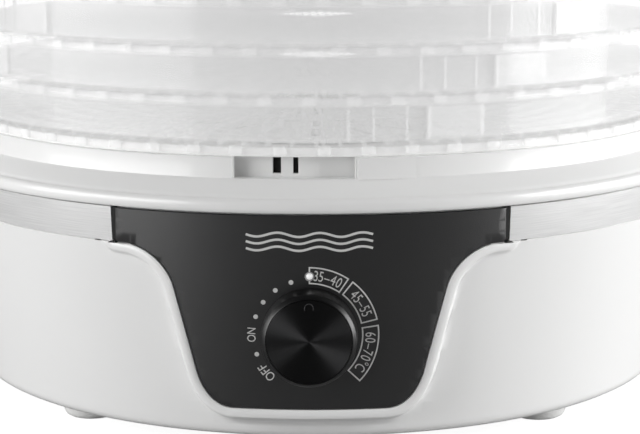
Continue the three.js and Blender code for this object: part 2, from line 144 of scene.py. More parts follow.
def ranged(tree, value, low, high, start=0.0, end=1.0):
    """A Map Range node that takes start to end over to low to high."""
    node = tree.nodes.new("ShaderNodeMapRange")
    for name, number in (("From Min", start), ("From Max", end), ("To Min", low), ("To Max", high)):
        node.inputs[name].default_value = number
    tree.links.new(value, node.inputs["Value"])
    return node.outputs[0]


def plastic(name, colour, roughness, coat=0.0, grain=0.0, grain_size=900, shift=0.03):
    """Moulded plastic: a faint change of tone and gloss over the surface, and a fine moulded grain."""
    mat = bpy.data.materials.new(name)
    mat.use_nodes = True
    tree = mat.node_tree
    bsdf = tree.nodes["Principled BSDF"]
    bsdf.inputs["Coat Weight"].default_value = coat
    bsdf.inputs["Coat Roughness"].default_value = 0.08
    group = tree.nodes.new("ShaderNodeGroup")
    group.node_tree = surface_variation()
    group.inputs["Colour"].default_value = (*colour, 1)
    group.inputs["Roughness"].default_value = roughness
    group.inputs["Shift"].default_value = shift
    group.inputs["Grain Size"].default_value = grain_size
    group.inputs["Grain Depth"].default_value = grain
    tree.links.new(group.outputs["Colour"], bsdf.inputs["Base Color"])
    tree.links.new(group.outputs["Roughness"], bsdf.inputs["Roughness"])
    tree.links.new(group.outputs["Normal"], bsdf.inputs["Normal"])
    return mat


def surface_variation():
    """Node group that varies a plain moulded or metal surface: tone, gloss and grain."""
    if "surface_variation" in bpy.data.node_groups:
        return bpy.data.node_groups["surface_variation"]
    tree = bpy.data.node_groups.new("surface_variation", "ShaderNodeTree")
    face = tree.interface
    face.new_socket("Colour", in_out="INPUT", socket_type="NodeSocketColor")
    for name in ("Roughness", "Shift", "Grain Size", "Grain Depth"):
        face.new_socket(name, in_out="INPUT", socket_type="NodeSocketFloat")
    face.new_socket("Colour", in_out="OUTPUT", socket_type="NodeSocketColor")
    face.new_socket("Roughness", in_out="OUTPUT", socket_type="NodeSocketFloat")
    face.new_socket("Normal", in_out="OUTPUT", socket_type="NodeSocketVector")
    new, link = tree.nodes.new, tree.links.new
    inputs, outputs = new("NodeGroupInput"), new("NodeGroupOutput")
    coords = new("ShaderNodeTexCoord")
    cloud = new("ShaderNodeTexNoise")
    cloud.inputs["Scale"].default_value = 14
    cloud.inputs["Detail"].default_value = 3
    link(coords.outputs["Object"], cloud.inputs["Vector"])
    centred = calc(tree, "SUBTRACT", cloud.outputs["Fac"], 0.5)
    amount = calc(tree, "MULTIPLY", centred, inputs.outputs["Shift"])
    shade = new("ShaderNodeVectorMath")
    shade.operation = "SCALE"
    link(inputs.outputs["Colour"], shade.inputs[0])
    link(calc(tree, "ADD", amount, 1), shade.inputs["Scale"])
    link(shade.outputs[0], outputs.inputs["Colour"])
    link(calc(tree, "MULTIPLY_ADD", amount, 2, inputs.outputs["Roughness"]), outputs.inputs["Roughness"])
    grain = new("ShaderNodeTexNoise")
    grain.inputs["Detail"].default_value = 2
    link(coords.outputs["Object"], grain.inputs["Vector"])
    link(inputs.outputs["Grain Size"], grain.inputs["Scale"])
    bump = new("ShaderNodeBump")
    bump.inputs["Distance"].default_value = 0.0002
    link(inputs.outputs["Grain Depth"], bump.inputs["Strength"])
    link(grain.outputs["Fac"], bump.inputs["Height"])
    link(bump.outputs["Normal"], outputs.inputs["Normal"])
    return tree


def bezier(p, q, r, s, steps):
    """Points along a cubic curve, without its first point."""
    t = np.linspace(0, 1, steps + 1)[1:, None]
    p, q, r, s = (np.array(v, float) for v in (p, q, r, s))
    return (1 - t) ** 3 * p + 3 * (1 - t) ** 2 * t * q + 3 * (1 - t) * t ** 2 * r + t ** 3 * s


def panel_outline(top, grow=0.0):
    """The panel seen from the front, x and z in mm, from its top left corner round to its top right."""
    half = [np.array([[0, 22.7], [28, 22.7]])]
    half.append(bezier((28, 22.7), (34.5, 22.9), (39.3, 29.3), (40.9, 36.2), 14))
    half.append(bezier((40.9, 36.2), (43.4, 46), (46.2, 56), (48.7, 65.5), 6))
    half.append(bezier((48.7, 65.5), (50.1, 72), (56.6, 79.6), (66, 80.8), 16))
    half.append(np.array([[70.6, 81.0]]))
    half.append(bezier((70.6, 81.0), (71.5, 81.0), (72, 81.5), (72, 82.4), 4))
    half.append(np.array([[72, top]]))
    right = np.vstack(half)
    left = right[:0:-1] * (-1, 1)
    return grown(np.vstack([left, right]), grow)


def grown(path, amount):
    """An open path moved sideways, away from the panel's middle."""
    if not amount:
        return path
    step = np.gradient(path, axis=0)
    step /= np.linalg.norm(step, axis=1)[:, None]
    return path + amount * np.stack([step[:, 1], -step[:, 0]], axis=1)


def resampled(path, spacing):
    """Points at even distances along a path, its ends kept."""
    run = np.concatenate([[0], np.cumsum(np.linalg.norm(np.diff(path, axis=0), axis=1))])
    at = np.linspace(0, run[-1], max(2, int(run[-1] / spacing)) + 1)
    return np.stack([np.interp(at, run, path[:, k]) for k in (0, 1)], axis=1)


def distance_to(path, points):
    """Distance from each point to a path, negative inside it."""
    a, b = path[:-1], path[1:]
    run = b - a
    size = (run ** 2).sum(1)
    size[size == 0] = 1e-12
    best = np.full(len(points), 1e9)
    side = np.zeros(len(points))
    for k in range(len(a)):
        rel = points - a[k]
        t = np.clip(rel @ run[k] / size[k], 0, 1)
        off = rel - t[:, None] * run[k]
        d = np.hypot(off[:, 0], off[:, 1])
        nearer = d < best
        best[nearer] = d[nearer]
        side[nearer] = (run[k][0] * rel[:, 1] - run[k][1] * rel[:, 0])[nearer]
    return np.where(side > 0, -best, best)


def smoothstep(x):
    x = np.clip(x, 0, 1)
    return x * x * (3 - 2 * x)


def wall_radius(z):
    return foot_r + (z - foot_z) * (brow_r - foot_r) / (brow_z - foot_z)


def housing_radius(x, z, outline):
    """Radius of the housing's skin at a place in front of it: wall, lip, and the recess in the pod."""
    d = distance_to(outline, np.stack([x, z], axis=1))
    wall = wall_radius(z)
    bead = panel_r - 0.25 + 0.75 * np.sqrt(np.clip(np.sin(np.pi * np.clip(d / lip_w, 0, 1)), 0, 1))
    fall = 1.0 + 0.42 * np.clip(bead - wall, 0, 20)
    skin = wall + (bead - wall) * (1 - smoothstep((d - lip_w + 0.7) / fall))
    return np.where(d < 0.12, recess_r, skin)


def make_housing(material):
    """The front is a sheet that follows the panel's outline; the rest is a plain turned wall."""
    half_angle = 40
    sheet_r = 160.0
    outline = panel_outline(96)
    levels = np.linspace(foot_z, brow_z, 18)
    columns = np.arange(-half_angle, half_angle + 1, 2)
    edge_x = sheet_r * math.sin(math.radians(half_angle))
    points, edges = [], []

    def add_path(path):
        start = len(points)
        points.extend(map(tuple, path))
        edges.extend((k, k + 1) for k in range(start, len(points) - 1))

    xs = [sheet_r * math.sin(math.radians(t)) for t in columns]
    add_path([(x, levels[0]) for x in xs] + [(edge_x, z) for z in levels[1:]]
             + [(x, levels[-1]) for x in xs[-2::-1]] + [(-edge_x, z) for z in levels[-2::-1]])
    for offset in (0.05, 0.2, 0.5, 1.0, 1.95, 2.9, 3.4, 3.9, 4.5, 5.2, 6.2, 7.6, 9.5):
        path = resampled(panel_outline(96, offset), 1.6 if offset < 6 else 2.6)
        add_path([p for p in path if p[1] < brow_z + 3])
    for x in xs[1:-1]:
        points.extend((x, z) for z in levels[1:-1])
    hole = [(5 * math.cos(a), dial_z + 5 * math.sin(a)) for a in np.linspace(0, 2 * math.pi, 33)]
    add_path(hole)
    flat, _, faces, _, _, _ = delaunay_2d_cdt([Vector(p) for p in points], edges, [], 0, 1e-4)
    at = np.array([tuple(v) for v in flat])
    radius = housing_radius(at[:, 0], at[:, 1], outline)
    middle = np.array([at[list(f)].mean(0) for f in faces])
    keep = (middle[:, 1] < brow_z) & (np.hypot(middle[:, 0], middle[:, 1] - dial_z) > 4.95)
    keep &= np.abs(middle[:, 0]) < edge_x
    angle = np.arcsin(np.clip(at[:, 0] / sheet_r, -1, 1))
    verts = [(r * math.sin(t), -r * math.cos(t), z) for r, t, z in zip(radius, angle, at[:, 1])]
    bm = bmesh.new()
    made = [bm.verts.new(v) for v in verts]
    for face, wanted in zip(faces, keep):
        if wanted:
            bm.faces.new([made[k] for k in face])
    bmesh.ops.delete(bm, geom=[v for v in bm.verts if not v.link_faces], context="VERTS")
    around = np.radians(np.linspace(half_angle, 360 - half_angle, 113))
    rows = [[bm.verts.new((wall_radius(z) * math.sin(t), -wall_radius(z) * math.cos(t), z)) for t in around]
            for z in levels]
    for low, high in zip(rows, rows[1:]):
        for k in range(len(around) - 1):
            bm.faces.new((low[k], low[k + 1], high[k + 1], high[k]))
    bmesh.ops.remove_doubles(bm, verts=bm.verts, dist=0.02)
    bmesh.ops.recalc_face_normals(bm, faces=bm.faces)
    grow_edge(bm, levels[-1], [(brow_r - 0.25, brow_z + 0.25), (brow_r - 0.9, brow_z + 0.32),
                               (seat_r, brow_z + 0.32), (seat_r, deck_z)])
    grow_edge(bm, levels[0], [(148.55, 11.3), (148.0, 10.0), (147.1, 9.0), (145.9, 8.3), (144.6, 8.0),
                              (143.6, 8.0)])
    bmesh.ops.scale(bm, verts=bm.verts, vec=(mm, mm, mm))
    bmesh.ops.recalc_face_normals(bm, faces=bm.faces)
    if sum(f.normal.dot(Vector((f.calc_center_median().x, f.calc_center_median().y, 0)))
           for f in bm.faces) < 0:
        bmesh.ops.reverse_faces(bm, faces=bm.faces)
    mesh = bpy.data.meshes.new("housing_shell")
    bm.to_mesh(mesh)
    bm.free()
    thick = bpy.data.objects.new("housing_draft", mesh)
    scene.collection.objects.link(thick)
    solidify = thick.modifiers.new("wall", "SOLIDIFY")
    solidify.thickness = 2.0 * mm
    solidify.offset = -1
    return dress_piece("housing_shell", applied(thick), "base", "white", material, "base_housing", smooth=38)


def grow_edge(bm, z, steps):
    """Carries the open edge at height z through a list of radius and height steps, in mm."""
    loop = [e for e in bm.edges if e.is_boundary and all(abs(v.co.z - z) < 1e-3 for v in e.verts)]
    for radius, height in steps:
        made = bmesh.ops.extrude_edge_only(bm, edges=loop)["geom"]
        for v in (g for g in made if isinstance(g, bmesh.types.BMVert)):
            here = math.hypot(v.co.x, v.co.y)
            reach = min(radius, here) / here if height > z else radius / here
            v.co = (v.co.x * reach, v.co.y * reach, height)
        loop = [g for g in made if isinstance(g, bmesh.types.BMEdge)]


def applied(piece):
    """The piece's mesh with its modifiers in it; the piece itself goes."""
    bpy.context.view_layer.update()
    final = bpy.data.meshes.new_from_object(piece.evaluated_get(bpy.context.evaluated_depsgraph_get()))
    bpy.data.objects.remove(piece)
    return final


white_abs = plastic("white_abs", (0.86, 0.86, 0.855), 0.3, coat=0.25, grain=0.05)
make_housing(white_abs)


# Turned pieces: profiles of radius and height in mm, spun round the tower's axis.
def spun(profile, segments=192, ring=True):
    """Vertices and faces of a turned piece; a ring's profile closes on itself."""
    count = len(profile)
    verts = [(r * math.sin(a), -r * math.cos(a), z)
             for a in np.linspace(0, 2 * math.pi, segments, endpoint=False) for r, z in profile]
    faces = []
    for s in range(segments):
        n = (s + 1) % segments
        for k in range(count if ring else count - 1):
            j = (k + 1) % count
            faces.append((s * count + k, n * count + k, n * count + j, s * count + j))
    return verts, faces


# Steel band: a strip of brushed stainless steel 0.8 mm thick, wrapped round the housing's seat with its
# ends under the panel's edges.
brushed_steel = bpy.data.materials.new("brushed_band")


def finish_band(mat):
    mat.use_nodes = True
    tree = mat.node_tree
    new, link = tree.nodes.new, tree.links.new
    bsdf = tree.nodes["Principled BSDF"]
    bsdf.inputs["Metallic"].default_value = 0.6
    bsdf.inputs["Anisotropic"].default_value = 0.6
    coords = new("ShaderNodeTexCoord")
    split = new("ShaderNodeSeparateXYZ")
    link(coords.outputs["Object"], split.inputs[0])
    angle = calc(tree, "ARCTAN2", split.outputs["X"], split.outputs["Y"])
    line = vector(tree, calc(tree, "MULTIPLY", angle, 1.6), calc(tree, "MULTIPLY", split.outputs["Z"], 900))
    streaks = new("ShaderNodeTexNoise")
    streaks.inputs["Scale"].default_value = 5
    streaks.inputs["Detail"].default_value = 4
    link(line, streaks.inputs["Vector"])
    tone = new("ShaderNodeValToRGB")
    tone.color_ramp.elements[0].position = 0.3
    tone.color_ramp.elements[0].color = (0.8, 0.8, 0.8, 1)
    tone.color_ramp.elements[1].position = 0.7
    tone.color_ramp.elements[1].color = (0.94, 0.94, 0.935, 1)
    link(streaks.outputs["Fac"], tone.inputs["Fac"])
    link(tone.outputs["Color"], bsdf.inputs["Base Color"])
    link(ranged(tree, streaks.outputs["Fac"], 0.25, 0.42), bsdf.inputs["Roughness"])
    bump = new("ShaderNodeBump")
    bump.inputs["Strength"].default_value = 0.25
    bump.inputs["Distance"].default_value = 0.0001
    link(streaks.outputs["Fac"], bump.inputs["Height"])
    link(bump.outputs["Normal"], bsdf.inputs["Normal"])


def make_band():
    end = math.asin(72.35 / 160)
    profile = [(158.9, 80.9), (159.15, 80.75), (159.35, 80.9), (159.95, 93.5), (159.75, 93.7), (158.9, 93.7)]
    count, steps = len(profile), 300
    verts, faces = [], []
    for a in np.linspace(end, 2 * math.pi - end, steps):
        verts.extend((r * math.sin(a), -r * math.cos(a), z) for r, z in profile)
    for s in range(steps - 1):
        for k in range(count):
            j = (k + 1) % count
            faces.append((s * count + k, (s + 1) * count + k, (s + 1) * count + j, s * count + j))
    faces.append(tuple(range(count)))
    faces.append(tuple(range(steps * count - 1, (steps - 1) * count - 1, -1)))
    make_piece("band_strip", verts, faces, "base", "brushed_band", brushed_steel, "steel_band")


finish_band(brushed_steel)
make_band()


# Deck ring: white ABS moulding that snaps onto the housing. Its rim overhangs the band, its deck slopes
# up to the collar that the trays stand on, and a mouth in the collar shows the slotted air ring inside.
def carved(name, verts, faces, cutters):
    """A mesh in mm with blocks cut out of it."""
    draft = plain_object(name, verts, faces)
    for k, (tool_verts, tool_faces) in enumerate(cutters):
        tool = plain_object(f"{name}_tool_{k}", tool_verts, tool_faces)
        cut = draft.modifiers.new(f"cut_{k}", "BOOLEAN")
        cut.object = tool
        cut.solver = "EXACT"
    mesh = applied(draft)
    for k in range(len(cutters)):
        bpy.data.objects.remove(bpy.data.objects[f"{name}_tool_{k}"])
    return mesh


def plain_object(name, verts, faces):
    bm = bmesh.new()
    made = [bm.verts.new(Vector(v) * mm) for v in verts]
    for face in faces:
        bm.faces.new([made[k] for k in face])
    face_out(bm)
    mesh = bpy.data.meshes.new(name)
    bm.to_mesh(mesh)
    bm.free()
    piece = bpy.data.objects.new(name, mesh)
    scene.collection.objects.link(piece)
    return piece


def sector_block(inner, outer, start, end, low, high, steps=24):
    """A block between two radii, two angles from the front in degrees, and two heights."""
    verts = []
    for a in np.radians(np.linspace(start, end, steps + 1)):
        for r, z in ((inner, low), (outer, low), (outer, high), (inner, high)):
            verts.append((r * math.sin(a), -r * math.cos(a), z))
    faces = [(0, 1, 2, 3), tuple(4 * steps + k for k in (3, 2, 1, 0))]
    for s in range(steps):
        for k in range(4):
            j = (k + 1) % 4
            faces.append((4 * s + k, 4 * s + j, 4 * s + 4 + j, 4 * s + 4 + k))
    return verts, faces


def make_deck():
    profile = [(160.9, 94.25), (161.7, 94.35), (162.2, 94.9), (162.4, 95.8), (162.4, 97.4), (162.1, 98.4),
               (161.4, 99.1), (160.6, 99.35), (160.2, 99.2), (160.0, 98.9), (159.8, 98.9), (159.5, 99.3),
               (159.0, 100.0), (158.4, 100.5), (156.0, 102.4), (153.6, 104.0), (152.6, 104.55),
               (152.15, 105.0), (152.0, 105.7), (152.0, 112.3), (151.8, 112.6), (150.2, 112.7),
               (150.2, 115.7), (149.9, 116.0), (149.0, 116.0), (148.7, 115.7), (148.7, 104.9),
               (148.3, 104.5), (145.6, 104.5), (145.3, 104.8), (145.3, 112.2), (145.0, 112.5),
               (143.8, 112.5), (143.5, 112.2), (143.5, 104.8), (143.2, 104.5), (60.4, 104.5),
               (60.0, 104.1), (60.0, 102.4), (60.4, 102.0), (150.0, 102.0), (156.0, 97.8), (157.0, 94.3)]
    mouth = sector_block(147.5, 156, -10.5, 6.2, 105.0, 112.7)
    slots = [sector_block(142, 147, a, b, 106, 113, 3) for turn in (0, 120, 240)
             for a, b in ((turn - 5.3, turn - 4.1), (turn - 2.4, turn - 1.65))]
    mesh = carved("deck_moulding", *spun(profile, 256), [mouth, *slots])
    dress_piece("deck_moulding", mesh, "base", "white", white_abs, "deck_ring", smooth=32)
    make_piece("collar_pad", *sector_block(151.9, 152.75, 6.5, 14.2, 104.8, 112.5),
               "base", "white", white_abs)


make_deck()


# Slot shade: thin black strips behind the three pairs of collar slots. They are painted shade for the dark
# hollow behind the slots, and keep the light of the trays from showing through them.
baffle_black = plastic("baffle_black", (0.004, 0.004, 0.004), 0.8)
for k, turn in enumerate((0, 120, 240)):
    make_piece(f"slot_baffle_{k + 1}", *sector_block(142.3, 143.1, turn - 6.2, turn - 0.8, 104.6, 112.4, 8),
               "base", "panel_graphite", baffle_black)


# Control panel: satin graphite ABS, curved like the housing and sunk into the pod so that only a fine
# shadow line runs between it and the lip.
panel_reach = 70.7


def make_panel(material):
    top, reach = 93.6, panel_reach
    outline = panel_outline(top).clip((-reach, 0), (reach, top))
    ring_path = np.vstack([outline, outline[:1]])
    points, edges = [], []

    def add_ring(path):
        start = len(points)
        points.extend(map(tuple, path))
        count = len(path)
        edges.extend((start + k, start + (k + 1) % count) for k in range(count))

    inset = 0.35
    core = panel_outline(top - inset, -inset).clip((inset - reach, 0), (reach - inset, top))
    for path in (outline, core):
        add_ring(resampled(np.vstack([path, path[:1]]), 1.4)[:-1])
    for x in np.arange(-70, 71, 2.5):
        for z in np.arange(25, 93, 4):
            points.append((x, z))
    for radius, z in ((4.6, dial_z), (1.65, led_z)):
        add_ring([(radius * math.cos(a), z + radius * math.sin(a))
                  for a in np.linspace(0, 2 * math.pi, 32, endpoint=False)])
    flat, _, faces, _, _, _ = delaunay_2d_cdt([Vector(p) for p in points], edges, [], 0, 1e-4)
    at = np.array([tuple(v) for v in flat])
    d = distance_to(ring_path, at)
    middle = np.array([at[list(f)].mean(0) for f in faces])
    inside = distance_to(ring_path, middle) < -1e-3
    inside &= np.hypot(middle[:, 0], middle[:, 1] - dial_z) > 4.55
    inside &= np.hypot(middle[:, 0], middle[:, 1] - led_z) > 1.62
    radius = panel_r - 0.3 * np.clip(1 + d / inset, 0, 1)
    verts = [(r * math.sin(t), -r * math.cos(t), z)
             for r, t, z in zip(radius, np.arcsin(at[:, 0] / panel_r), at[:, 1])]
    draft = plain_object("panel_draft", verts, [f for f, ok in zip(faces, inside) if ok])
    loose = bmesh.new()
    loose.from_mesh(draft.data)
    bmesh.ops.delete(loose, geom=[v for v in loose.verts if not v.link_faces], context="VERTS")
    bmesh.ops.recalc_face_normals(loose, faces=loose.faces)
    if sum(f.normal.y for f in loose.faces) > 0:
        bmesh.ops.reverse_faces(loose, faces=loose.faces)
    loose.to_mesh(draft.data)
    loose.free()
    solidify = draft.modifiers.new("wall", "SOLIDIFY")
    solidify.thickness = 2.2 * mm
    solidify.offset = -1
    dress_piece("panel_plate", applied(draft), "base", "panel_graphite", material, "control_panel", smooth=40)


graphite = plastic("panel_graphite", (0.007, 0.007, 0.0074), 0.36, grain=0.15, grain_size=2600)
graphite.node_tree.nodes["Principled BSDF"].inputs["Specular IOR Level"].default_value = 0.8
make_panel(graphite)


# Panel gap shade: black strips in the narrow gap between the panel's upper sides and the ends of the steel band,
# painted shade for the shadow that falls in that gap.
near, far = (math.degrees(math.asin(x / panel_r)) for x in (panel_reach + 0.05, 72.2))
for side, start, end in (("left", -far, -near), ("right", near, far)):
    make_piece("panel_seal_" + side, *sector_block(panel_r - 2, panel_r - 0.6, start, end, 81.5, 93.5, 3),
               "base", "panel_graphite", baffle_black)


# Panel print: pad-printed light grey scale round the dial, and a plain wave of warm air above it. Each mark
# is a skin a few hundredths of a millimetre thick, laid on the panel's curve.
ink_lift = 0.03


def on_panel(x, z, radius=panel_r + ink_lift):
    t = math.asin(x / panel_r)
    return (radius * math.sin(t), -radius * math.cos(t), z)


def scale_place(radius, degrees):
    """A place on the dial's scale: degrees run clockwise from the top, seen from the front."""
    a = math.radians(degrees)
    return radius * math.sin(a), dial_z + radius * math.cos(a)


def stroke(path, width):
    """A flat line of constant width along a path of x and z, as quads."""
    path = np.array(path, float)
    step = np.gradient(path, axis=0)
    step /= np.linalg.norm(step, axis=1)[:, None]
    side = np.stack([-step[:, 1], step[:, 0]], axis=1) * width / 2
    verts = [on_panel(*p) for pair in zip(path - side, path + side) for p in pair]
    faces = [(2 * k, 2 * k + 2, 2 * k + 3, 2 * k + 1) for k in range(len(path) - 1)]
    return verts, faces


def spot(x, z, radius, steps=20):
    ring_verts = [on_panel(x + radius * math.cos(a), z + radius * math.sin(a))
                  for a in np.linspace(0, 2 * math.pi, steps, endpoint=False)]
    return ring_verts, [tuple(range(steps))]


def arc_box(start, end, inner=18.9, outer=24.6, width=0.5):
    arc = np.linspace(start, end, 24)
    lines = [[scale_place(inner, a) for a in arc], [scale_place(outer, a) for a in arc]]
    reach = np.linspace(inner - width / 2, outer + width / 2, 6)
    lines += [[scale_place(r, a) for r in reach] for a in (start, end)]
    return [stroke(line, width) for line in lines]


def glyph(letter):
    """A letter's flat mesh and its advance, 1 high from baseline to cap."""
    curve = bpy.data.curves.new("glyph", "FONT")
    curve.body = letter
    curve.resolution_u = 4
    carrier = bpy.data.objects.new("glyph", curve)
    scene.collection.objects.link(carrier)
    bpy.context.view_layer.update()
    mesh = bpy.data.meshes.new_from_object(carrier.evaluated_get(bpy.context.evaluated_depsgraph_get()))
    verts = [tuple(v.co) for v in mesh.vertices]
    faces = [tuple(f.vertices) for f in mesh.polygons]
    bpy.data.objects.remove(carrier)
    bpy.data.curves.remove(curve)
    bpy.data.meshes.remove(mesh)
    return verts, faces


def curved_text(text, middle, radius, height, narrow=0.72, gap=0.12):
    """Figures set one by one round the scale, their tops outwards."""
    cap = 0.69
    size = height / cap
    letters = [glyph(c) for c in text]
    widths = [(max(v[0] for v in verts) - min(v[0] for v in verts)) * size * narrow for verts, _ in letters]
    run = sum(widths) + gap * height * (len(text) - 1)
    at = -run / 2
    marks = []
    for (verts, faces), width in zip(letters, widths):
        turn = math.radians(middle) + (at + width / 2) / radius
        left = min(v[0] for v in verts)
        placed = []
        for x, y, _ in verts:
            across = (x - left) * size * narrow - width / 2
            up = radius - height / 2 + y * size
            placed.append(on_panel(up * math.sin(turn) + across * math.cos(turn),
                                   dial_z + up * math.cos(turn) - across * math.sin(turn)))
        marks.append((placed, faces))
        at += width + gap * height
    return marks


def make_print(material):
    marks = [spot(*scale_place(20.3, a), 0.85) for a in (-111, -71.4, -54.3, -36.7, -18.8)]
    for start, end in ((0, 34), (38.6, 77), (82.5, 133.5)):
        marks += arc_box(start, end)
    marks += curved_text("35–40", 17.6, 21.75, 3.7)
    marks += curved_text("45–55", 58, 21.75, 3.7)
    marks += curved_text("60–70°C", 107.5, 21.75, 3.7)
    marks += curved_text("ON", -90.5, 20.9, 3.0, narrow=0.8)
    marks += curved_text("OFF", -132, 20.9, 3.3, narrow=0.82)
    for row in range(3):
        xs = np.linspace(-22.5, 22.5, 90)
        marks.append(stroke([(x, 81.6 + 2.5 * row + 0.75 * math.sin(x / 22.5 * math.pi * 3))
                             for x in xs], 0.85))
    verts, faces = [], []
    for mark_verts, mark_faces in marks:
        faces += [tuple(k + len(verts) for k in f) for f in mark_faces]
        verts += mark_verts
    draft = plain_object("print_draft", verts, faces)
    bm = bmesh.new()
    bm.from_mesh(draft.data)
    for face in bm.faces:
        if face.normal.y > 0:
            face.normal_flip()
    bm.to_mesh(draft.data)
    bm.free()
    solidify = draft.modifiers.new("ink", "SOLIDIFY")
    solidify.thickness = 0.02 * mm
    solidify.offset = -1
    dress_piece("panel_print", applied(draft), "base", "lamp", material)


ink = plastic("scale_ink", (0.62, 0.62, 0.61), 0.5, grain=0.1)
make_print(ink)


# Pilot lamp: a standard 3 mm lamp with a domed clear-white lens, set in a thin grey bezel.
def turned_forward(profile, centre_z, segments=96):
    """A turned piece about an axis that runs to the front: radius and distance from the tower's axis."""
    verts = [(r * math.sin(a), -depth, centre_z + r * math.cos(a))
             for a in np.linspace(0, 2 * math.pi, segments, endpoint=False) for r, depth in profile]
    count = len(profile)
    faces = [(s * count + k, ((s + 1) % segments) * count + k,
              ((s + 1) % segments) * count + k + 1, s * count + k + 1)
             for s in range(segments) for k in range(count - 1)]
    return verts, faces


def make_turned_forward(name, profile, centre_z, body, slot, material, *replaced, segments=96, smooth=32):
    """Like turned_forward, but a finished piece with its poles closed and its faces outwards."""
    draft = plain_object(name + "_draft", *turned_forward(profile, centre_z, segments))
    mesh = draft.data.copy()
    bpy.data.objects.remove(draft)
    return dress_piece(name, mesh, body, slot, material, *replaced, smooth=smooth)


lamp_white = plastic("lamp_lens", (0.93, 0.93, 0.93), 0.12, coat=0.5)
lamp_white.node_tree.nodes["Principled BSDF"].inputs["Emission Color"].default_value = (1, 1, 1, 1)
lamp_white.node_tree.nodes["Principled BSDF"].inputs["Emission Strength"].default_value = 0.25
dome = [(1.25 * math.sin(a), 160.3 + 0.8 * math.cos(a)) for a in np.radians(np.linspace(0, 90, 9))]
make_turned_forward("lamp_dome", [*dome, (1.25, 150.5), (0, 150.5)], led_z,
                    "base", "lamp", lamp_white, "led_lens",
                    segments=40)
grey_ring = plastic("lamp_bezel", (0.3, 0.3, 0.3), 0.35)
make_turned_forward("lamp_bezel", [(1.3, 160.75), (1.4, 160.85), (1.6, 160.8), (1.7, 160.62), (1.6, 160.3),
                                   (1.3, 160.3), (1.3, 160.75)], led_z,
                        "base", "lamp", grey_ring, segments=40)


# Dial: a black knob with a chamfered rim round a spun, black-anodised cap. A small raised arch near the
# cap's edge is its pointer.
def spun_metal(name, colour):
    """Fine rings turned into a metal face, which spread light into wedges."""
    mat = bpy.data.materials.new(name)
    mat.use_nodes = True
    tree = mat.node_tree
    new, link = tree.nodes.new, tree.links.new
    bsdf = tree.nodes["Principled BSDF"]
    bsdf.inputs["Metallic"].default_value = 1.0
    bsdf.inputs["Anisotropic"].default_value = 0.97
    bsdf.inputs["Anisotropic Rotation"].default_value = 0.25
    coords = new("ShaderNodeTexCoord")
    centre = new("ShaderNodeMapping")
    centre.inputs["Location"].default_value = (0, 0, -dial_z * mm)
    link(coords.outputs["Object"], centre.inputs["Vector"])
    split = new("ShaderNodeSeparateXYZ")
    link(centre.outputs[0], split.inputs[0])
    length = new("ShaderNodeVectorMath")
    length.operation = "LENGTH"
    link(vector(tree, split.outputs["X"], split.outputs["Z"]), length.inputs[0])
    rings = new("ShaderNodeTexNoise")
    rings.noise_dimensions = "1D"
    rings.inputs["Scale"].default_value = 9000
    rings.inputs["Detail"].default_value = 1
    link(length.outputs["Value"], rings.inputs["W"])
    shade = new("ShaderNodeVectorMath")
    shade.operation = "SCALE"
    shade.inputs[0].default_value = colour
    link(ranged(tree, rings.outputs["Fac"], 0.7, 1.25), shade.inputs["Scale"])
    link(shade.outputs[0], bsdf.inputs["Base Color"])
    link(ranged(tree, rings.outputs["Fac"], 0.48, 0.56), bsdf.inputs["Roughness"])
    tangent = new("ShaderNodeTangent")
    tangent.direction_type = "RADIAL"
    tangent.axis = "Y"
    link(tangent.outputs[0], bsdf.inputs["Tangent"])
    return mat


def make_dial():
    rim = [(0, 166.0), (3.4, 166.0), (3.4, 161.0), (17.2, 161.0), (17.2, 161.6), (17.15, 162.4), 
            (16.9, 168.8),
           (16.82, 169.15), (16.65, 169.42), (15.75, 170.3), (15.55, 170.5), (15.4, 170.55), (15.3, 170.4),
           (15.3, 169.8), (0, 169.8)]
    make_turned_forward("knob_body", rim, dial_z, "dial", "knob_black", gloss_black, "dial_knob",
                        segments=128)
    face = [(0, 169.9), (15.15, 169.9), (15.15, 170.45), (15.0, 170.55), (9.0, 170.62), (0, 170.66)]
    spun_cap = spun_metal("knob_cap", (0.04, 0.04, 0.041))
    make_turned_forward("cap_face", face, dial_z, "dial", "knob_cap", spun_cap, "knob_cap",
                        segments=128, smooth=25)
    arch = [(1.55 * math.cos(a), dial_z + 12.1 + 1.7 * math.sin(a))
            for a in np.radians(np.linspace(-25, 205, 28))]
    path = np.array(arch)
    step = np.gradient(path, axis=0)
    side = np.stack([-step[:, 1], step[:, 0]], axis=1) * 0.11 / np.linalg.norm(step, axis=1)[:, None]
    corners = np.stack([path - side, path + side], axis=1)
    verts = [(x, y, z) for pair in corners for y in (-170.4, -170.72) for x, z in pair]
    faces = [(4 * k + m, 4 * k + n, 4 * k + 4 + n, 4 * k + 4 + m)
             for k in range(len(path) - 1) for m, n in ((0, 1), (1, 3), (3, 2), (2, 0))]
    ends = [(0, 1, 3, 2), tuple(4 * len(path) - 4 + k for k in (0, 1, 3, 2))]
    draft = plain_object("mark_draft", verts, faces + ends)
    mark = plastic("pointer_grey", (0.06, 0.06, 0.062), 0.4)
    dress_piece("cap_pointer", applied(draft), "dial", "knob_cap", mark)


gloss_black = plastic("knob_black", (0.003, 0.003, 0.0033), 0.34)
make_dial()


# Trays: five alike, moulded in milky clear polystyrene and stacked. Each has a tall wall, an open floor for
# the warm air, and a skirt that fits over the tray below, keyed by sixty small blocks. Each is set 10
# degrees round from the one below, so that the panels of its four stacking keys climb round the tower.
tray_count, tray_pitch, tray_twist, stack_z = 5, 17.5, 10, 113
key_places = (0, 94.5, 184.7, 275.3)


